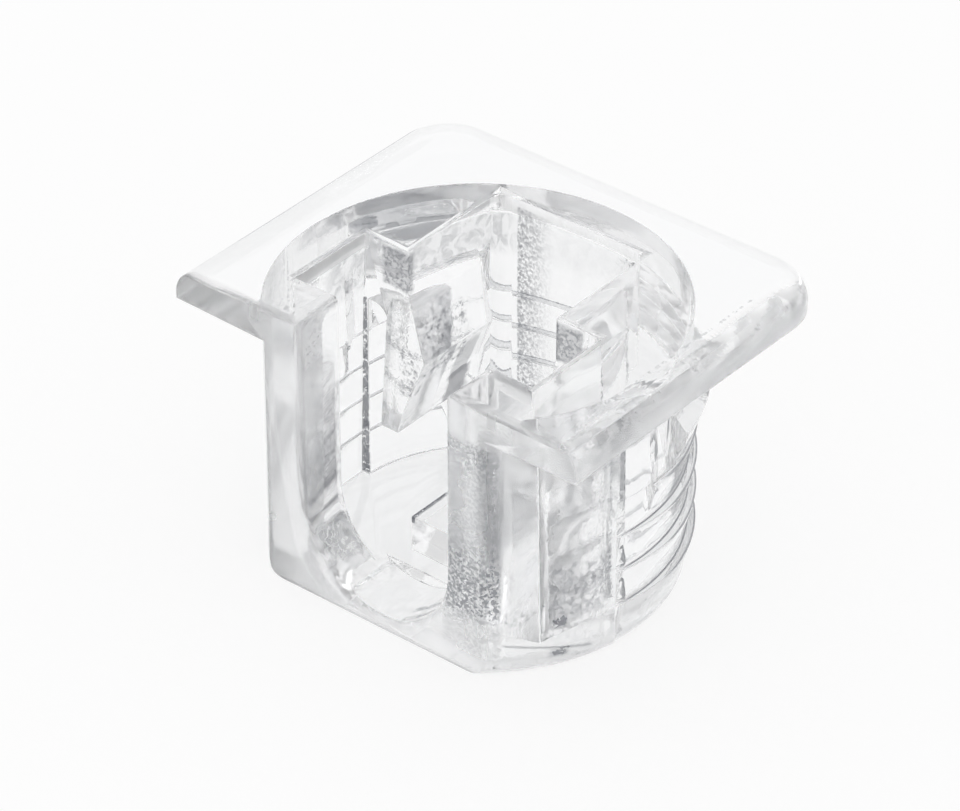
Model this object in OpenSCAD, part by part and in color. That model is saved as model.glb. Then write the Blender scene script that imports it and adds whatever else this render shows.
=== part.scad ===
// Press-fit housing for a shelf support: one clear moulding that is pushed
// into a drilled hole in the underside of a shelf. Its flange lies on the
// board, its flat front is flush with the board's end, and the slot in that
// front takes the head of the supporting bolt.
//
// Frame: Z is the axis of the drilled hole, the base of the body is at z = 0
// and the flat front faces -Y.

/* [Body] */
// Diameter of the drilled hole that the body fills
body_d = 20; // [16.6:0.1:24]
// Height of the body under the flange
body_h = 13.3; // [11:0.1:16]
// Depth of the flat that is cut from the front of the round body
front_cut = 2.35; // [1.9:0.05:2.9]
// Thickness of the wall behind the flat front
front_wall = 2.9; // [2.4:0.1:3.4]
// Thickness of the wall round the chamber
chamber_wall = 3; // [2.5:0.1:3.6]
// Thickness of the floor under the chamber
floor_t = 1.15; // [0.95:0.05:1.4]
// Radius round the bottom edge of the body
base_edge_r = 0.5; // [0.35:0.05:0.7]

/* [Flange] */
// Overhang of the flange at each side of the body
flange_side = 1.9; // [1.5:0.1:2.4]
// Overhang of the flange behind the body
flange_back = 1.6; // [1.3:0.1:2]
// Thickness of the flange
flange_t = 1.85; // [1.5:0.05:2.3]
// Height of the flange's upright edge under its rounding
flange_land = 0.4; // [0.3:0.05:0.5]
// Radius along the top edge of the flat front
flange_front_r = 0.4; // [0.3:0.05:0.5]
// Radius of the flange's back corners, seen from above
flange_corner_r = 3; // [2.4:0.1:3.6]

/* [Cavity] */
// Thickness of the roof over the back of the chamber, with the flange
roof_t = 3.8; // [3:0.1:4.6]
// Distance of the roof's front edge behind the hole's axis
roof_y = 0.25; // [0:0.05:0.6]
// Clearance of the pockets beside the round chamber
pocket_clear = 0.05; // [0:0.05:0.2]
// Distance by which each side of the wide pocket leans out down to the floor
pocket_flare = 0.35; // [0.25:0.05:0.5]
// Least wall between the wide pocket's front corners and the round body
corner_wall = 0.8; // [0.6:0.05:0.8]
// Width of the rear pocket
rear_w = 8.8; // [7.3:0.1:10.6]
// Radius of the rear pocket's back corners
rear_corner_r = 0.8; // [0.4:0.1:1.2]
// Chamfer round the cavity's mouth
mouth_chamfer = 0.15; // [0.1:0.05:0.4]

/* [Bolt slot] */
// Width of the slot in the flat front
slot_w = 8.6; // [7.1:0.1:10.4]
// Height of the slot's lowest point over the base
slot_sill = 0.55; // [0.45:0.05:0.7]
// Radius round the slot's outer edge
slot_edge_r = 0.4; // [0.2:0.05:0.4]
// Radius round the slot's inner edge
slot_inner_r = 0.25; // [0.2:0.05:0.4]
// Radius of the lead-in at the top of the slot's sides
slot_lead_r = 0.8; // [0.6:0.05:1]

/* [Tongues] */
// Distance that a tongue's nose stands out from the side of the rear pocket
tongue_nose = 0.9; // [0.7:0.1:1.1]
// Height of the ramp that leads in from a tongue's top to its nose
tongue_ramp = 3.7; // [3:0.1:4.4]
// Height of a tongue's top under the mouth
tongue_lead = 2.45; // [2:0.05:2.9]
// Set-back of a tongue's neck, below the nose, behind the pocket's side
tongue_neck = 0.2; // [0.1:0.05:0.3]
// Height of the neck over the tongue's lower end
tongue_neck_h = 1.85; // [1.5:0.05:2.2]
// Set-back of a tongue's tip behind the pocket's side
tongue_tuck = 0.8; // [0.6:0.05:1]
// Thickness of a tongue at its tip
tongue_tip_t = 1; // [0.8:0.05:1.2]
// Thickness of a tongue at its root, behind the pocket's side
tongue_t = 1.35; // [1.1:0.05:1.6]
// Radius in the corner between a tongue and the roof
tongue_root_r = 0.8; // [0.6:0.05:1]
// Gap between a tongue and the back of the rear pocket
tongue_gap = 1.65; // [1.3:0.05:2]
// Height of a tongue's lower end over the floor
tongue_clear = 3.2; // [2.6:0.05:3.8]
// Radius of a tongue's lower back corner
tongue_corner_r = 1; // [0.8:0.1:1.2]

/* [Floor rib] */
// Width of the rib along the floor
rib_w = 3; // [2.4:0.1:3.6]
// Height of the rib over the floor
rib_h = 1.9; // [1.5:0.1:2.3]
// Distance from the front wall's back face to the rib
rib_start = 1.6; // [1.3:0.1:1.9]

/* [Barbs] */
// Spacing of the rings
barb_pitch = 1.95; // [1.6:0.05:2.3]
// Height of the plain wall between one ring's crest and the next barb
barb_land = 0.25; // [0.1:0.05:0.4]
// Distance of the top ring's crest under the flange
barb_drop = 5.1; // [4.2:0.1:6.2]
// Interference of a barb's crest in the hole, on the radius
barb_bite = 0.35; // [0.15:0.05:0.5]
// Relief of the wall between barbs, on the radius
barb_relief = 0.1; // [0.05:0.05:0.2]
// Angle from the front at which the rings start
barb_angle = 79; // [65:1:95]
// Angle from the front at which the top ring starts
top_barb_angle = 92; // [80:1:110]
// Set-back of the round outline in which the barbs run out at their ends
barb_runout = 0.8; // [0.4:0.1:1.2]

/* [Wedge] */
// Interference of the wedge's crest in the hole, on the radius
wedge_bite = 0.9; // [0.6:0.05:1.2]
// Angle from the front at which the wedge starts
wedge_angle = 102; // [92:1:112]
// Angle from the front at which the wedge ends
wedge_end_angle = 138; // [125:1:150]
// Distance of the wedge's foot under the flange
wedge_h = 5.9; // [4.8:0.1:7.2]
// Gap between the wedge's back slope and the flange
wedge_gap = 2.1; // [1.7:0.1:2.5]

/* [Hidden] */
$fn = 96;
// Overlap of a cutter past the face that it opens
over = 0.5;
body_r = body_d / 2;
top_z = body_h + flange_t;
front_y = -(body_r - front_cut);
inner_y = front_y + front_wall;
back_y = body_r + flange_back;
half_flange = body_r + flange_side;
flange_edge_r = flange_t - flange_land;
chamber_r = body_r - chamber_wall;
half_pocket = chamber_r + pocket_clear;
rear_y = chamber_r + pocket_clear;
half_rear = rear_w / 2;
roof_z = top_z - roof_t;
lip_z = top_z - mouth_chamfer;
slot_r = slot_w / 2;
slot_z = slot_sill + slot_r;
tongue_l = rear_y - tongue_gap - roof_y;
tongue_z = floor_t + tongue_clear;
tongue_top = top_z - tongue_lead;
tongue_tip_x = half_rear + tongue_tuck;
tongue_root_x = half_rear + tongue_t;
barb_top = body_h - barb_drop;
barb_h = barb_pitch - barb_land;
// As many rings as fit between the top one and the round bottom edge
barb_n = floor((barb_top - barb_h - base_edge_r) / barb_pitch) + 1;
barb_y = -body_r * cos(barb_angle);
top_barb_y = -body_r * cos(top_barb_angle);
wedge_y = -body_r * cos(wedge_angle);
wedge_end_y = -body_r * cos(wedge_end_angle);
crest_r = body_r + barb_bite;
root_r = body_r - barb_relief;
wedge_r = body_r + wedge_bite;
wedge_z = body_h - wedge_h;
clear_plastic = [0.9, 0.92, 0.94, 0.5];

// Half section of the drum, round at its lower outer edge
module drum_section(r) {
    translate([0, base_edge_r]) square([r, body_h - base_edge_r]);
    square([r - base_edge_r, body_h]);
    translate([r - base_edge_r, base_edge_r]) circle(base_edge_r);
}

// Half section of one ring, counted from the top, which widens up to its crest
module barb_section(i) {
    z = barb_top - i * barb_pitch;
    polygon([[0, z - barb_h], [root_r, z - barb_h], [crest_r, z], [0, z]]);
}

// Half section of the wedge: a ramp up to its crest and a slope of 45 degrees behind it
module wedge_section() {
    heel_z = body_h - wedge_gap;
    crest_z = heel_z - wedge_bite;
    polygon([[0, wedge_z], [root_r, wedge_z], [wedge_r, crest_z], [body_r, heel_z], [0, heel_z]]);
}

// All the space behind, or with side = -1 in front of, an upright plane
module half_space(y, side = 1) {
    size = 2 * back_y;
    translate([0, y + side * size / 2, top_z / 2]) cube([2 * size, size, 2 * top_z], center = true);
}

// Round outline in which the barbs rise from flush at their front ends
module barb_envelope() {
    start = [body_r * sin(barb_angle), body_r * cos(barb_angle) + barb_runout];
    translate([0, barb_runout, 0]) cylinder(h = body_h, r = norm(start));
}

// Rings of barbs round the sides and back; the top ring starts further back
module barbs() {
    intersection() {
        rotate_extrude() for (i = [1 : barb_n - 1]) barb_section(i);
        barb_envelope();
        half_space(barb_y);
    }
    intersection() {
        rotate_extrude() barb_section(0);
        barb_envelope();
        half_space(top_barb_y);
    }
}

// Wedges that jam both sides of the body in the hole, a little under its rim
module wedge() {
    intersection() {
        rotate_extrude() wedge_section();
        half_space(wedge_y);
        half_space(wedge_end_y, -1);
    }
}

// Full-size wall at the front, which goes on over the barbs all the way round
module plain_wall() {
    intersection() {
        rotate_extrude() drum_section(body_r);
        union() {
            half_space(barb_y, -1);
            translate([0, 0, barb_top]) cylinder(h = body_h, r = back_y);
        }
    }
}

// Drum with its wall relieved for the barbs, cut flat at the front
module body_blank() {
    intersection() {
        union() {
            rotate_extrude() drum_section(root_r);
            plain_wall();
            barbs();
            wedge();
        }
        half_space(front_y);
    }
}

// Flange section of the given half width, round at its upper edge
module flange_section(half_w) {
    square([half_w - flange_edge_r, flange_t]);
    square([half_w, flange_land]);
    translate([half_w - flange_edge_r, flange_land]) intersection() {
        circle(flange_edge_r);
        square(flange_edge_r);
    }
}

// Flange with a sharp flat front, round upper edges and round back corners
module flange() {
    corner_x = half_flange - flange_corner_r;
    corner_y = back_y - flange_corner_r;
    translate([0, corner_y, body_h]) {
        rotate([90, 0, 0]) linear_extrude(corner_y - front_y) {
            flange_section(half_flange);
            mirror([1, 0]) flange_section(half_flange);
        }
        for (side = [-1, 1])
            translate([side * corner_x, 0, 0])
                rotate_extrude() flange_section(flange_corner_r);
        translate([-corner_x, 0, 0]) rotate([90, 0, 90])
            linear_extrude(2 * corner_x) flange_section(flange_corner_r);
    }
}

// Side outline of a pocket from a to b: its rim opens at 45 degrees and its
// sides lean out by flare down to the floor
module pocket_outline(a, b, flare = 0) {
    c = mouth_chamfer + over;
    polygon([
        [a - flare, floor_t], [b + flare, floor_t], [b, lip_z],
        [b + c, lip_z + c], [a - c, lip_z + c], [a, lip_z]
    ]);
}

// Pocket from the floor up through the mouth
module pocket(half_w, y0, y1, flare = 0) {
    c = mouth_chamfer + over;
    side = half_w + c + flare;
    intersection() {
        translate([0, y1 + c, 0]) rotate([90, 0, 0])
            linear_extrude(y1 - y0 + 2 * c) pocket_outline(-half_w, half_w, flare);
        translate([-side, 0, 0]) rotate([90, 0, 90])
            linear_extrude(2 * side) pocket_outline(y0, y1);
    }
}

// Wide pocket, whose front corners keep a wall inside the round body
module wide_pocket() {
    intersection() {
        pocket(half_pocket, inner_y, roof_y, pocket_flare);
        cylinder(h = 2 * top_z, r = root_r - corner_wall);
    }
}

// What a round corner takes off: the corner is at the origin and the material
// that stays is in the first quadrant
module corner_waste(r) {
    difference() {
        translate([-over, -over]) square(r + over);
        translate([r, r]) circle(r);
    }
}

// Rear pocket: square at the mouth, with round back corners below it
module rear_pocket() {
    difference() {
        pocket(half_rear, roof_y - over, rear_y);
        for (side = [0, 1]) mirror([side, 0, 0])
            translate([half_rear, rear_y, 0]) linear_extrude(lip_z)
                rotate(180) corner_waste(rear_corner_r);
    }
}

// Round chamber under the roof, cut flat by the front wall
module chamber() {
    intersection() {
        translate([0, 0, floor_t]) cylinder(h = roof_z - floor_t, r = chamber_r);
        half_space(inner_y);
    }
}

// Slot through the front wall: straight sides and a half-round bottom
module bolt_slot() {
    translate([0, inner_y + over, 0]) rotate([90, 0, 0])
        linear_extrude(front_wall + 2 * over) {
            translate([0, slot_z]) circle(slot_r);
            translate([-slot_r, slot_z]) square([slot_w, top_z]);
        }
}

// Rounding of the slot's edge on the plane y, down both sides and round the
// bottom as far as min_z; flip is 0 for the outer edge and 1 for the inner
module slot_rounding(r, y, min_z, flip) {
    bottom_h = slot_z - min_z;
    for (side = [0, 1]) mirror([side, 0, 0])
        translate([slot_r, y, slot_z]) linear_extrude(top_z)
            mirror([0, flip]) corner_waste(r);
    intersection() {
        translate([0, y, slot_z]) rotate([-90, 0, 0]) rotate_extrude()
            translate([slot_r, 0]) mirror([0, flip]) corner_waste(r);
        translate([-slot_w, y - slot_w, min_z]) cube([2 * slot_w, 2 * slot_w, bottom_h]);
    }
}

// Front outline of a tongue: it leads in from the pocket's side to its nose
// and tucks back to its tip, with a round corner outside at the roof
module tongue_outline() {
    polygon([
        [half_rear, tongue_top],
        [half_rear - tongue_nose, tongue_top - tongue_ramp],
        [half_rear + tongue_neck, tongue_z + tongue_neck_h],
        [tongue_tip_x, tongue_z],
        [tongue_tip_x + tongue_tip_t, tongue_z],
        [tongue_root_x, roof_z],
        [tongue_root_x, tongue_top]
    ]);
    translate([tongue_root_x - over, roof_z - tongue_root_r]) difference() {
        square([over + tongue_root_r, tongue_root_r + over]);
        translate([over + tongue_root_r, 0]) circle(tongue_root_r);
    }
}

// Side outline of a tongue, round at its lower back corner
module tongue_side() {
    h = tongue_top - tongue_z;
    square([tongue_l - tongue_corner_r, h]);
    translate([0, tongue_corner_r]) square([tongue_l, h - tongue_corner_r]);
    translate([tongue_l - tongue_corner_r, tongue_corner_r]) circle(tongue_corner_r);
}

// One tongue hangs from the roof into the chamber
module tongue() {
    intersection() {
        translate([0, roof_y + tongue_l, 0]) rotate([90, 0, 0])
            linear_extrude(tongue_l) tongue_outline();
        translate([0, roof_y, tongue_z]) rotate([90, 0, 90])
            linear_extrude(body_r) tongue_side();
    }
}

// Rib along the floor, from behind the slot into the back wall
module floor_rib() {
    y = inner_y + rib_start;
    translate([-rib_w / 2, y, floor_t / 2])
        cube([rib_w, rear_y + over - y, floor_t / 2 + rib_h]);
}

// What the rounding along the top of the flat front takes off
module front_rounding() {
    length = 2 * (half_flange + over);
    translate([-length / 2, front_y, top_z]) rotate([90, 0, 90])
        linear_extrude(length) mirror([0, 1]) corner_waste(flange_front_r);
}

// Round lead-in along the top of the slot's sides
module slot_lead() {
    for (side = [0, 1]) mirror([side, 0, 0])
        translate([slot_r, inner_y + over, top_z]) rotate([90, 0, 0])
            linear_extrude(front_wall + 2 * over)
                mirror([0, 1]) corner_waste(slot_lead_r);
}

// All of the space inside the housing
module cavity() {
    wide_pocket();
    rear_pocket();
    chamber();
    bolt_slot();
    slot_rounding(slot_edge_r, front_y, 0, 0);
    slot_rounding(slot_inner_r, inner_y, floor_t, 1);
    slot_lead();
}

module housing() {
    color(clear_plastic) {
        difference() {
            union() {
                body_blank();
                flange();
            }
            cavity();
            front_rounding();
        }
        tongue();
        mirror([1, 0, 0]) tongue();
        floor_rib();
    }
}

housing();
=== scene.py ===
"""Clear press-fit housing of a shelf support: its moulded finish, a pale studio and the camera."""

import math

import bmesh
import bpy
from bpy.props import FloatProperty, FloatVectorProperty, PointerProperty
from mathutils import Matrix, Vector


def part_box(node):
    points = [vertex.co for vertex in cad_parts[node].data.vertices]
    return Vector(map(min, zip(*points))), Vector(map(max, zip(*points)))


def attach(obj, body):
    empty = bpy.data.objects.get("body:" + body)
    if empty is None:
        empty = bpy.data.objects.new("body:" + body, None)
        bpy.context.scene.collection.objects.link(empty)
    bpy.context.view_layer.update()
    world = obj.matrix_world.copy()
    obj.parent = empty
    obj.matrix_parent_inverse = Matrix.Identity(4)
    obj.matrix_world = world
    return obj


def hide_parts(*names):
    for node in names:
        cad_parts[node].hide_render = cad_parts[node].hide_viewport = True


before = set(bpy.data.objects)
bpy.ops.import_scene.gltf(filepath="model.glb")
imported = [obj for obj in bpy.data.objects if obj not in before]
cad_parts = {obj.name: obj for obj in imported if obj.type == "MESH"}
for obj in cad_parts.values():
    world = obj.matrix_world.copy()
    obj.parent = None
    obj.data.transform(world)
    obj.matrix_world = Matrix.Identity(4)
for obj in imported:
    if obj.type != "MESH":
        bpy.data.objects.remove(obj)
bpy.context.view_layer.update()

bl_info = {
    "name": "Shelf Support Housing",
    "version": (1, 0, 0),
    "blender": (4, 5, 0),
    "location": "3D View > Sidebar > Housing",
    "description": "Finishes a clear moulded shelf support housing and lights it in a pale studio",
    "category": "Object",
}

NODE = "housing"
BODY = "root"
SLOT = "clear_plastic"
MM = 0.001

# The rounded copy of the CAD mesh: an edge shorter than SHORTEST_ROUNDED stays sharp, as do those it meets
MERGE_DISTANCE = 0.002 * MM
FLAT_ANGLE = math.radians(0.3)
SHARP_ANGLE = math.radians(25)
SHORTEST_ROUNDED = 0.2 * MM

# Places on the moulding, in millimetres
FLANGE_UNDERSIDE = 13.3
TOP_RING = 8.2
RING_PITCH = 1.95
RING_STARTS = (0.35, -1.9, -1.9, -1.9)

# Relief of the plastic's surface, in millimetres, and how raggedly a patch's edge wanders
WAVES = 0.02
GRAIN = 0.002
FROSTED_GRAIN = 0.004
ETCHED_SWIRL = 0.05
EDGE_WANDER = 3

# Milk stands for the haze, and one dark colour for the dark marks: painted shade in some places, dark flecks
# of the surface in others
MILK_COLOUR = (0.95, 0.955, 0.965, 1)
MILK_LIGHT = (0.975, 0.98, 0.985, 1)
MILK_SHARE = 0.15
SHADE_AND_FLECK_COLOUR = (0.10, 0.11, 0.135, 1)
DULL = 0.5
SHADOW_TINT = (0.985, 0.987, 0.99, 1)
FROSTED_ROUGHNESS = 0.2
ETCHED_ROUGHNESS = 0.06

# The floor fades away from the housing, and the dome towards the horizon and the camera's side
FLOOR_SIZE = 4.0
FLOOR_GAP = 0.02 * MM
FLOOR_COLOUR = (0.95, 0.95, 0.95, 1)
FLOOR_GLOW = 0.75
FLOOR_FADE = 0.1
FLOOR_FADE_REACH = (0.03, 0.12)
HORIZON_LEVEL = 0.75
HORIZON_RISE = (0.3, 0.65)
CAMERA_SIDE_FADE = 0.3
CAMERA_SIDE_RISE = (0.1, 0.6)

# The lamp and the camera
LAMP_PLACE = (-0.25, -0.25, 0.35)
LAMP_SIZE = 0.25
SENSOR_WIDTH = 36.0
CLIP_START = 0.01
LIGHT_BOUNCES = 40


# ---------------------------------------------------------------- shader tools


class Number:
    """A number in a shader, on which Python's arithmetic adds Math nodes."""

    def __init__(self, shading, socket):
        self.shading = shading
        self.socket = socket

    def math(self, operation, *values):
        sockets = {f"_{index}": value for index, value in enumerate(values)}
        return self.shading.number("ShaderNodeMath", {"operation": operation}, **sockets)

    def __add__(self, other):
        return self.math("ADD", self, other)

    __radd__ = __add__

    def __sub__(self, other):
        return self.math("SUBTRACT", self, other)

    def __rsub__(self, other):
        return self.math("SUBTRACT", other, self)

    def __mul__(self, other):
        return self.math("MULTIPLY", self, other)

    __rmul__ = __mul__

    def __abs__(self):
        return self.math("ABSOLUTE", self)

    def hypot(self, other):
        return self.math("SQRT", self * self + other * other)

    def least(self, other):
        return self.math("MINIMUM", self, other)

    def most(self, other):
        return self.math("MAXIMUM", self, other)

    def rise(self, start, end):
        """0 at start and 1 at end, with a smooth rise between them."""
        return self.shading.number(
            "ShaderNodeMapRange", {"interpolation_type": "SMOOTHSTEP"}, Value=self,
            From_Min=start, From_Max=end)

    def band(self, low, high, edge):
        """1 between low and high, and 0 outside them, with smooth edges."""
        return self.rise(low - edge, low + edge) * self.rise(high + edge, high - edge)


class Shading:
    """The node tree of a material or the world, emptied and ready to be filled."""

    def __init__(self, owner):
        owner.use_nodes = True
        self.tree = owner.node_tree
        self.tree.nodes.clear()

    def node(self, kind, settings=None, **sockets):
        """Adds a node, applies its settings, then gives its sockets, named or as _0, values or links."""
        node = self.tree.nodes.new(kind)
        for name, value in (settings or {}).items():
            setattr(node, name, value)
        for name, value in sockets.items():
            key = int(name[1:]) if name[0] == "_" else name.replace("_", " ")
            if isinstance(value, Number):
                value = value.socket
            if isinstance(value, bpy.types.NodeSocket):
                self.tree.links.new(value, node.inputs[key])
            else:
                node.inputs[key].default_value = value
        return node

    def number(self, kind, settings=None, **sockets):
        return Number(self, self.node(kind, settings, **sockets).outputs[0])

    def axes(self, vector):
        """The three numbers of a vector."""
        parts = self.node("ShaderNodeSeparateXYZ", Vector=vector).outputs
        return tuple(Number(self, part) for part in parts)

    def noise(self, place, scale, detail=3.0, roughness=0.5, distortion=0.0):
        return self.number("ShaderNodeTexNoise", Vector=place, Scale=scale, Detail=detail,
                           Roughness=roughness, Distortion=distortion)

    def grey(self, level):
        return self.node("ShaderNodeCombineColor", _0=level, _1=level, _2=level).outputs[0]

    def mix(self, share, first, second):
        """The first shader, with a share of the second over it."""
        return self.node("ShaderNodeMixShader", _0=share, _1=first.outputs[0], _2=second.outputs[0])


# ---------------------------------------------------------------- settings


class MouldingSettings(bpy.types.PropertyGroup):
    """Finish of the clear moulding."""

    tint: FloatVectorProperty(
        name="Tint", description="Colour of the clear plastic", subtype="COLOR",
        default=(0.985, 0.989, 0.993), min=0, max=1)
    ior: FloatProperty(
        name="IOR", description="Index of refraction of the plastic", default=1.55, min=1.3, max=1.7)
    edge_round: FloatProperty(
        name="Edge round", description="Width of the round on every sharp edge", default=0.07 * MM,
        unit="LENGTH")
    roughness: FloatProperty(
        name="Roughness", description="Roughness of the plain faces", default=0.04, min=0, max=1)
    haze: FloatProperty(
        name="Haze", description="Milkiness of the plain faces", default=0.003, min=0, max=1,
        precision=4)
    shade: FloatProperty(
        name="Shade", description="Strength of the dark marks", default=0.75, min=0, max=1)


class StudioSettings(bpy.types.PropertyGroup):
    """Camera and light level."""

    azimuth: FloatProperty(
        name="Azimuth", description="Camera's bearing from the flat front", subtype="ANGLE",
        default=math.radians(39.415))
    elevation: FloatProperty(
        name="Elevation", description="Camera's height above the horizon", subtype="ANGLE",
        default=math.radians(34.655))
    distance: FloatProperty(
        name="Distance", description="Camera's distance from the point aimed at", default=0.2451,
        unit="LENGTH")
    target_z: FloatProperty(
        name="Target height", description="Height of the point aimed at", default=8.15 * MM,
        unit="LENGTH")
    lens: FloatProperty(
        name="Lens", description="Focal length", default=195.98, unit="CAMERA")
    shift: FloatVectorProperty(
        name="Shift", description="Shift of the lens across and up, as shares of the sensor",
        size=2, default=(0.0021, 0.0041), precision=4)
    dome: FloatProperty(
        name="Dome", description="Strength of the dome light", default=0.95, min=0)
    lamp: FloatProperty(
        name="Lamp", description="Power of the soft lamp", default=0.12, unit="POWER")


# ---------------------------------------------------------------- clear plastic


class Places:
    """Where a point of the moulding lies, in millimetres, with the patterns and masks made from it.

    The patterns go from coarse to fine: cloud, mottle, swirl, speckle and fleck.
    """

    def __init__(self, shading):
        self.low, self.high = (Vector(corner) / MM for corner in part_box(NODE))
        place = shading.node("ShaderNodeTexCoord").outputs["Object"]
        scaled = shading.node("ShaderNodeVectorMath", {"operation": "SCALE"}, _0=place, Scale=1 / MM)
        self.mm = scaled.outputs[0]
        self.x, self.y, self.z = shading.axes(self.mm)
        self.radius = self.x.hypot(self.y)
        self.side = abs(self.x)
        self.wobble = shading.noise(self.mm, 1.3, detail=4.0, roughness=0.65) * 1.2 - 0.6
        self.cloud = shading.noise(self.mm, 0.45, detail=2.0)
        self.mottle = shading.noise(self.mm, 1.3, detail=3.0, distortion=1.0)
        self.swirl = shading.noise(self.mm, 2.4, detail=2.0, roughness=0.6, distortion=2.2)
        self.speckle = shading.noise(self.mm, 3.4, detail=3.0, roughness=0.7)
        self.fleck = shading.noise(self.mm, 5.5, detail=1.5, roughness=0.6, distortion=0.5)
        below_flange = self.z.rise(FLANGE_UNDERSIDE - 0.05, FLANGE_UNDERSIDE - 0.15)
        self.drum = self.radius.rise(9.5, 9.7) * below_flange

    def patch(self, x, y, z, blur=0.15, mirrored=True):
        """A box with ragged edges, on both sides of the middle where mirrored."""
        across = self.side if mirrored else self.x
        wander = self.wobble * (blur * EDGE_WANDER)
        masks = [(axis + wander).band(low, high, blur)
                 for axis, (low, high) in zip((across, self.y, self.z), (x, y, z))]
        return masks[0] * masks[1] * masks[2]


class Marks:
    """Haze, shade and etching of the plastic, gathered from the places that carry them. Shade is partly
    painted shade and partly dark flecks.
    """

    def __init__(self):
        self.haze = 0.0
        self.shade = 0.0
        self.etching = 0.0

    def add(self, where, haze=None, shade=None, etching=None):
        """The strongest haze and the strongest etching hold; shades add up."""
        if haze is not None:
            self.haze = (where * haze).most(self.haze)
        if etching is not None:
            self.etching = (where * etching).most(self.etching)
        if shade is not None:
            self.shade = where * shade + self.shade


def frost(at, marks):
    """Frosts the flat front and the flange's edges, and gives back their mask."""
    front = at.y.rise(at.low.y + 0.35, at.low.y + 0.15)
    side_edges = at.side.rise(at.high.x - 0.25, at.high.x - 0.1)
    edges = side_edges.most(at.y.rise(at.high.y - 0.25, at.high.y - 0.1))
    edges = edges.most(front * at.z.rise(FLANGE_UNDERSIDE, FLANGE_UNDERSIDE + 0.1))
    edges = edges * at.z.rise(FLANGE_UNDERSIDE - 0.1, FLANGE_UNDERSIDE + 0.05)
    marks.add(front, haze=0.1)
    marks.add(edges, haze=0.12, shade=at.mottle.rise(0.45, 0.75) * 0.1)
    return front.most(edges)


def mark_drum(at, marks):
    """A blotchy collar of painted shade under the flange, stronger at the back left, and a light haze below
    it.
    """
    back_left = at.x.rise(-4.0, -5.5)
    collar = at.drum * at.z.rise(10.4, 11.6) * at.y.rise(-2.0, 0.0)
    blotches = at.mottle.rise(0.4, 0.65) * (back_left * 0.3 + 0.06)
    # Painted shade on the collar, for the dark band seen through the flange around the drum.
    marks.add(collar, haze=0.1, etching=0.1, shade=0.05 + back_left * 0.1 + blotches)
    right_or_front = at.y.rise(-1.6, -2.2).most(at.x.rise(2.0, 4.0))
    marks.add(at.drum * at.z.rise(11.0, 10.0) * right_or_front, haze=0.04)


def mark_cheeks(at, marks):
    """The drum between the flat front and the rings: a panel, a strip, blobs and two lines."""
    panel = at.drum * at.y.band(-5.2, -2.6, 0.1)
    marks.add(panel, etching=0.25, shade=at.fleck.rise(0.4, 0.7) * (at.z.rise(12.8, 12.0) * 0.2))
    low_panel = at.patch(x=(7.6, 10.2), y=(-5.3, -2.4), z=(2.7, 5.8), blur=0.25)
    marks.add(low_panel, shade=at.speckle.rise(0.38, 0.62) * 0.6)

    strip = at.drum * at.y.band(-6.9, -5.7, 0.05) * at.z.rise(12.8, 12.5)
    marks.add(strip, etching=0.2, shade=at.fleck.rise(0.5, 0.7) * (at.z.band(2.9, 3.6, 0.2) * 0.7 + 0.14))
    blobs = at.drum * at.y.band(-5.2, -4.4, 0.2) * (at.z.band(2.3, 2.9, 0.15) + at.z.band(0.75, 1.15, 0.1))
    marks.add(blobs, shade=at.speckle.rise(0.35, 0.5) * 0.9)

    foot_line = at.drum * (at.y + (at.z - 1.6) * 0.25).band(-6.9, -3.4, 0.1)
    marks.add(foot_line * (at.z + at.y * 0.25).band(-0.05, 0.08, 0.05), shade=0.6)
    upright_line = at.drum * at.y.band(-2.35, -2.2, 0.03) * at.z.band(3.6, 12.5, 0.2)
    marks.add(upright_line, shade=at.speckle.rise(0.4, 0.6) * 0.5)


def mark_arms(at, marks):
    """The arms' front faces beside the slot. The right one is etched, and darkest low down."""
    arm = at.side.band(4.2, 7.1, 0.1) * at.y.rise(-6.6, -6.9) * at.z.band(1.0, 12.9, 0.3)
    marks.add(arm, haze=0.12, shade=at.mottle.rise(0.5, 0.8) * 0.04)
    tone = at.z.rise(9.0, 4.5) * at.z.rise(2.6, 3.8) * 0.7 + at.z.rise(10.6, 12.4) * 0.3 + 0.28
    marks.add(arm * at.x.rise(-0.5, 0.5), etching=0.6, shade=at.fleck.rise(0.3, 0.65) * tone * 1.1)


def mark_slot(at, marks):
    """The slot's sides, its milky lower left corner and two crescents of painted shade on its sill."""
    sides = at.side.band(2.0, 4.5, 0.2) * at.y.band(-7.4, -4.6, 0.1) * at.z.rise(14.9, 14.5)
    marks.add(sides, haze=0.1)
    side_patch = at.patch(x=(3.9, 4.7), y=(-6.6, -4.9), z=(4.9, 10.6))
    marks.add(side_patch, shade=at.fleck.rise(0.35, 0.65) * 0.45)
    corner = at.patch(x=(-4.2, -2.8), y=(-7.1, -5.0), z=(1.0, 3.3), mirrored=False)
    marks.add(corner, haze=0.25, etching=0.5, shade=at.fleck.rise(0.35, 0.65) * 0.35)

    # Painted shade: two dark crescents on the sill.
    sill = at.patch(x=(1.5, 3.4), y=(-7.4, -4.9), z=(0.6, 2.4), blur=0.1, mirrored=False)
    outer = (at.y - at.x * 0.35 + 7.9).band(-0.1, 0.25, 0.1)
    inner = (at.y - at.x * 0.5 + 7.2).band(-0.15, 0.3, 0.1)
    marks.add(sill * (outer + inner), shade=at.speckle.rise(0.3, 0.6) * 0.7)


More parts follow.
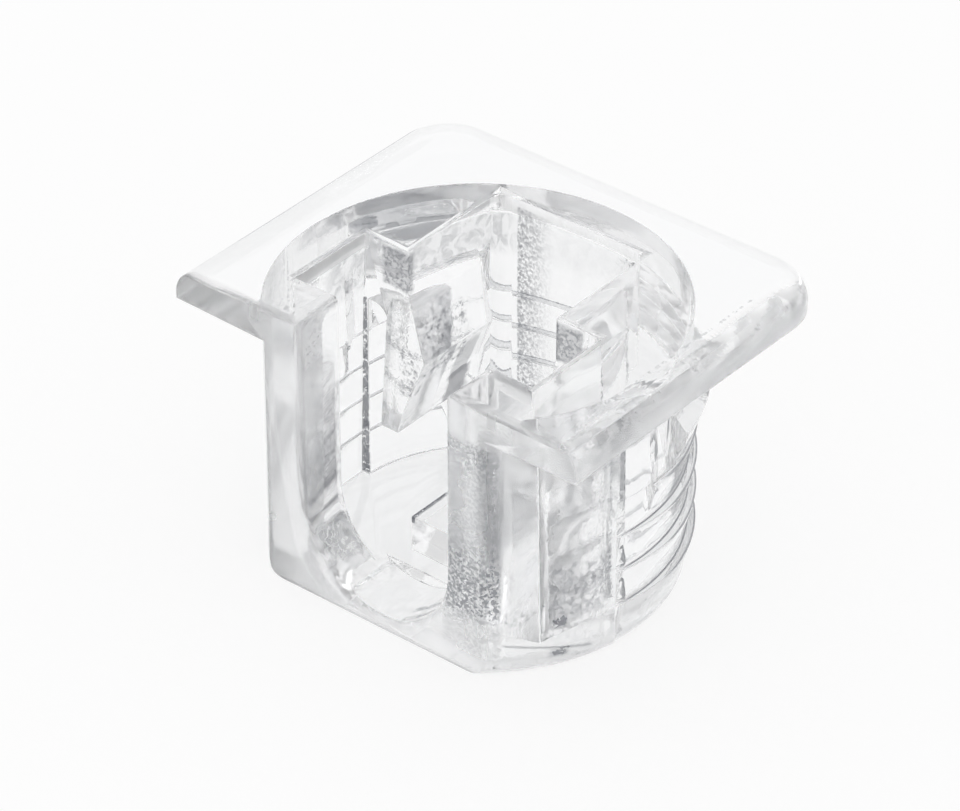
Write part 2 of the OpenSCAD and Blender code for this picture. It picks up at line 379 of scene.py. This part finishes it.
def mark_tongues(at, marks):
    """The tongues' etched faces, and patches of painted shade, some of them flecked, from the ramp down to
    the tip and at the roots.
    """
    whole = at.patch(x=(3.4, 6.4), y=(0.15, 5.6), z=(4.0, 12.0), blur=0.1)
    marks.add(whole, haze=0.1, etching=0.25)
    # Painted shade from here to the roots, broken into flecks on the ramp, the front and the roots.
    ramp = at.patch(x=(3.6, 6.3), y=(0.8, 3.7), z=(7.6, 10.9))
    marks.add(ramp, shade=at.speckle.rise(0.44, 0.7) * 0.9)
    front_top = at.patch(x=(4.7, 5.8), y=(0.0, 0.9), z=(9.2, 11.0))
    marks.add(front_top, shade=at.speckle.rise(0.42, 0.62) * 0.4)
    front_low = at.patch(x=(3.85, 5.0), y=(0.0, 0.9), z=(6.6, 9.5))
    marks.add(front_low, shade=at.speckle.rise(0.44, 0.7) * 0.9)
    tip = at.patch(x=(3.7, 6.2), y=(3.5, 5.0), z=(4.3, 6.4))
    marks.add(tip, shade=0.8)
    neck = at.patch(x=(3.7, 6.2), y=(3.3, 4.7), z=(6.0, 8.8), blur=0.1)
    marks.add(neck, shade=0.5)
    root = at.patch(x=(4.3, 6.0), y=(-0.1, 0.6), z=(12.7, 14.8))
    marks.add(root, shade=0.5 + at.fleck.rise(0.42, 0.6) * 0.4)


def mark_pockets(at, marks):
    """The rear pocket's rough strip, lines of painted shade down each heel of the wide pocket and at the
    rib, and the mouth.
    """
    strip = at.patch(x=(-3.35, -0.9), y=(6.8, 7.4), z=(4.6, 14.6), blur=0.05, mirrored=False)
    marks.add(strip, shade=at.fleck.rise(0.3, 0.7) * at.x.rise(-0.9, -3.2) * 0.9)
    # Painted shade: a line down each heel, and one at the rib's end.
    heel = at.patch(x=(7.0, 7.5), y=(0.15, 0.35), z=(1.2, 11.4), blur=0.02)
    marks.add(heel, shade=at.speckle.rise(0.35, 0.5))
    rib_end = at.patch(x=(-1.6, -1.25), y=(-3.3, -0.6), z=(2.7, 3.1), blur=0.04, mirrored=False)
    marks.add(rib_end, shade=at.fleck.rise(0.3, 0.45))
    mouth = at.side.band(6.8, 7.3, 0.05) * at.z.band(14.2, 15.0, 0.1) * at.y.rise(0.6, 0.3)
    marks.add(mouth, haze=0.6)


def mark_flange(at, marks):
    """A dark speckled patch on the flange's right end, and painted shade in a ragged line on its top and a
    band along its left end.
    """
    right_end = at.patch(x=(11.2, 12.0), y=(-6.8, -3.4), z=(13.7, 14.8), mirrored=False)
    marks.add(right_end, shade=at.speckle.rise(0.4, 0.7) * 0.45)
    # Painted shade: the ragged line on the top, and the band along the left end.
    top_line = at.patch(x=(10.45, 10.6), y=(-4.0, 7.0), z=(15.0, 15.2), blur=0.04, mirrored=False)
    marks.add(top_line, shade=at.speckle.rise(0.5, 0.6) * 0.4)
    left_end = at.x.rise(at.low.x + 0.8, at.low.x + 0.7) * at.y.rise(-6.0, -2.0)
    marks.add(left_end * at.z.band(at.high.z - 0.55, at.high.z - 0.2, 0.03), shade=0.45)


def mark_rings(at, marks):
    """A line of painted shade where each ring meets the drum and one along its rim."""
    # Painted shade along each ring's ledge, in the corner and at the rim.
    ledge = at.radius.band(9.88, 9.97, 0.03) * 0.9 + at.radius.band(10.25, 10.4, 0.03) * 0.7
    ledge = ledge + at.radius.rise(9.9, 9.95) * 0.15
    for index, start in enumerate(RING_STARTS):
        crest = at.z - (TOP_RING - index * RING_PITCH)
        marks.add(crest.band(-0.05, 0.05, 0.03) * at.y.rise(start, start + 1.2), shade=ledge)


# Each mask is made right where it's used, because a shader can only hold so many values at once.
MARKED_PARTS = (
    mark_drum, mark_arms, mark_slot, mark_cheeks, mark_tongues, mark_pockets, mark_flange, mark_rings)


def clear_plastic(settings):
    """Clear plastic that is milky where it's hazed, and dark where painted shade or dark flecks are put on
    it.
    """
    material = bpy.data.materials.new(SLOT)
    shading = Shading(material)
    at = Places(shading)
    marks = Marks()
    frosted = frost(at, marks)
    for mark in MARKED_PARTS:
        mark(at, marks)

    waves = shading.noise(at.mm, 0.35, detail=1.0)
    grain = shading.noise(at.mm, 6.0, detail=1.0)
    height = (waves * WAVES + grain * (GRAIN + FROSTED_GRAIN * frosted)
              + at.swirl * (ETCHED_SWIRL * marks.etching))
    normal = shading.node("ShaderNodeBump", Strength=1.0, Distance=MM, Height=height).outputs["Normal"]
    roughness = settings.roughness + frosted * FROSTED_ROUGHNESS + marks.etching * ETCHED_ROUGHNESS
    clear = shading.node(
        "ShaderNodeBsdfPrincipled", Base_Color=(*settings.tint, 1),
        Roughness=roughness * (0.7 + 0.6 * at.cloud), IOR=settings.ior, Transmission_Weight=1.0,
        Normal=normal)
    through = shading.node("ShaderNodeBsdfTranslucent", Color=MILK_LIGHT, Normal=normal)
    milk = shading.node(
        "ShaderNodeBsdfPrincipled", Base_Color=MILK_COLOUR, Roughness=DULL, IOR=settings.ior, Normal=normal)
    veil = shading.mix(MILK_SHARE, through, milk)
    # Painted shade and the dark flecks of the surface both take this dark shader.
    shade_and_flecks = shading.node(
        "ShaderNodeBsdfPrincipled", Base_Color=SHADE_AND_FLECK_COLOUR, Roughness=DULL, IOR=settings.ior, Normal=normal)
    hazed = shading.mix((settings.haze + marks.haze) * (0.6 + 0.8 * at.cloud), clear, veil)
    shaded_and_flecked = shading.mix(marks.shade.least(1.0) * settings.shade, hazed, shade_and_flecks)

    path = shading.node("ShaderNodeLightPath")
    open_air = shading.node("ShaderNodeBsdfTransparent", Color=SHADOW_TINT)
    surface = shading.mix(path.outputs["Is Shadow Ray"], shaded_and_flecked, open_air)
    shading.node("ShaderNodeOutputMaterial", Surface=surface.outputs[0])
    return material


# ---------------------------------------------------------------- floor and dome


def seen_rays(shading):
    """Masks of all rays that show the studio, by gloss or through plastic too, and of the camera's."""
    path = shading.node("ShaderNodeLightPath")
    camera, gloss, through = (Number(shading, path.outputs[f"Is {kind} Ray"])
                              for kind in ("Camera", "Glossy", "Transmission"))
    return camera.most(gloss).most(through), camera


def pale_floor():
    """Mostly plain white where it's seen, and seen in the plastic, darker away from the housing."""
    material = bpy.data.materials.new("pale_floor")
    shading = Shading(material)
    x, y, _ = shading.axes(shading.node("ShaderNodeTexCoord").outputs["Object"])
    reach = x.hypot(y)
    seen, camera = seen_rays(shading)
    glow = shading.grey(1 - reach.rise(*FLOOR_FADE_REACH) * FLOOR_FADE * (1 - camera))
    lit = shading.node("ShaderNodeBsdfDiffuse", Color=FLOOR_COLOUR)
    white = shading.node("ShaderNodeEmission", Color=glow, Strength=1.0)
    surface = shading.mix(seen * FLOOR_GLOW, lit, white)
    shading.node("ShaderNodeOutputMaterial", Surface=surface.outputs[0])
    return material


def pale_dome(settings):
    """White to the camera, and seen in the plastic, darker at the horizon and on the camera's side."""
    world = bpy.data.worlds.new("dome")
    shading = Shading(world)
    x, y, z = shading.axes(shading.node("ShaderNodeTexCoord").outputs["Generated"])
    seen, camera = seen_rays(shading)
    toward_camera = x * math.sin(settings.azimuth) - y * math.cos(settings.azimuth)
    height = HORIZON_LEVEL + (1 - HORIZON_LEVEL) * z.rise(*HORIZON_RISE)
    fade = 1 - CAMERA_SIDE_FADE * toward_camera.rise(*CAMERA_SIDE_RISE)
    glow = shading.grey(camera.most(height * fade))
    light = shading.node("ShaderNodeBackground", Color=(1, 1, 1, 1), Strength=settings.dome)
    shown = shading.node("ShaderNodeBackground", Color=glow, Strength=1.0)
    surface = shading.mix(seen, light, shown)
    shading.node("ShaderNodeOutputWorld", Surface=surface.outputs[0])
    return world


# ---------------------------------------------------------------- shapes, lamp and camera


def rounded_copy(source, width):
    """A copy of a CAD mesh with its triangles joined into faces and its sharp edges rounded."""
    shape = bmesh.new()
    shape.from_mesh(source)
    bmesh.ops.remove_doubles(shape, verts=shape.verts, dist=MERGE_DISTANCE)
    bmesh.ops.dissolve_limit(
        shape, angle_limit=FLAT_ANGLE, verts=shape.verts, edges=shape.edges, delimit=set())
    sharp = [edge for edge in shape.edges if edge.calc_face_angle(0) > SHARP_ANGLE]
    crowded = {vert for edge in sharp if edge.calc_length() < SHORTEST_ROUNDED for vert in edge.verts}
    rounded = [edge for edge in sharp if not crowded.intersection(edge.verts)]
    bmesh.ops.bevel(
        shape, geom=rounded, offset=width, offset_type="OFFSET", segments=2, profile=0.5,
        affect="EDGES", clamp_overlap=False, material=-1)
    for face in shape.faces:
        face.smooth = True
    mesh = bpy.data.meshes.new("moulding")
    shape.to_mesh(mesh)
    shape.free()
    return mesh


def add_floor(context):
    bpy.ops.mesh.primitive_plane_add(size=FLOOR_SIZE, location=(0, 0, -FLOOR_GAP))
    plane = context.object
    plane.name = "floor"
    plane.data.materials.append(pale_floor())


def add_lamp(context, settings):
    data = bpy.data.lights.new("key", "AREA")
    data.size = LAMP_SIZE
    data.energy = settings.lamp
    lamp = bpy.data.objects.new("key", data)
    lamp.location = LAMP_PLACE
    lamp.rotation_euler = (-Vector(LAMP_PLACE)).to_track_quat("-Z", "Y").to_euler()
    context.collection.objects.link(lamp)


def add_camera(context, settings):
    level = math.cos(settings.elevation)
    back = Vector((math.sin(settings.azimuth) * level, -math.cos(settings.azimuth) * level,
                   math.sin(settings.elevation)))
    data = bpy.data.cameras.new("camera")
    data.lens = settings.lens
    data.sensor_width = SENSOR_WIDTH
    data.shift_x, data.shift_y = settings.shift
    data.clip_start = CLIP_START
    camera = bpy.data.objects.new("camera", data)
    camera.location = Vector((0, 0, settings.target_z)) + back * settings.distance
    camera.rotation_euler = (-back).to_track_quat("-Z", "Y").to_euler()
    context.collection.objects.link(camera)
    context.scene.camera = camera


# ---------------------------------------------------------------- operators


class HOUSING_OT_moulding(bpy.types.Operator):
    """Builds the moulding with rounded edges and gives it its clear plastic"""

    bl_idname = "housing.moulding"
    bl_label = "Moulding"

    def execute(self, context):
        settings = context.scene.moulding
        mesh = rounded_copy(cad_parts[NODE].data, settings.edge_round)
        mesh.materials.append(clear_plastic(settings))
        piece = bpy.data.objects.new("moulding", mesh)
        context.collection.objects.link(piece)
        normals = piece.modifiers.new("face_normals", "WEIGHTED_NORMAL")
        normals.keep_sharp = True
        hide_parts(NODE)
        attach(piece, BODY)
        return {"FINISHED"}


class HOUSING_OT_studio(bpy.types.Operator):
    """Adds the floor, the dome, the lamp and the camera"""

    bl_idname = "housing.studio"
    bl_label = "Studio"

    def execute(self, context):
        settings = context.scene.studio
        context.scene.world = pale_dome(settings)
        add_floor(context)
        add_lamp(context, settings)
        add_camera(context, settings)
        context.scene.view_settings.view_transform = "Standard"
        for limit in ("max_bounces", "glossy_bounces", "transmission_bounces", "transparent_max_bounces"):
            setattr(context.scene.cycles, limit, LIGHT_BOUNCES)
        return {"FINISHED"}


class HOUSING_PT_panel(bpy.types.Panel):
    """Lists the build steps"""

    bl_idname = "HOUSING_PT_panel"
    bl_label = "Shelf Support Housing"
    bl_space_type = "VIEW_3D"
    bl_region_type = "UI"
    bl_category = "Housing"

    def draw(self, context):
        for group, operator in STEPS:
            box = self.layout.box()
            settings = getattr(context.scene, group)
            for name in settings.bl_rna.properties.keys():
                if name not in {"rna_type", "name"}:
                    box.prop(settings, name)
            box.operator(operator.bl_idname)


STEPS = (("moulding", HOUSING_OT_moulding), ("studio", HOUSING_OT_studio))
CLASSES = (MouldingSettings, StudioSettings, HOUSING_OT_moulding, HOUSING_OT_studio, HOUSING_PT_panel)


def register():
    for cls in CLASSES:
        bpy.utils.register_class(cls)
    bpy.types.Scene.moulding = PointerProperty(type=MouldingSettings)
    bpy.types.Scene.studio = PointerProperty(type=StudioSettings)


def unregister():
    del bpy.types.Scene.studio
    del bpy.types.Scene.moulding
    for cls in reversed(CLASSES):
        bpy.utils.unregister_class(cls)


def main():
    register()
    bpy.ops.housing.moulding()
    bpy.ops.housing.studio()


if __name__ == "__main__":
    main()
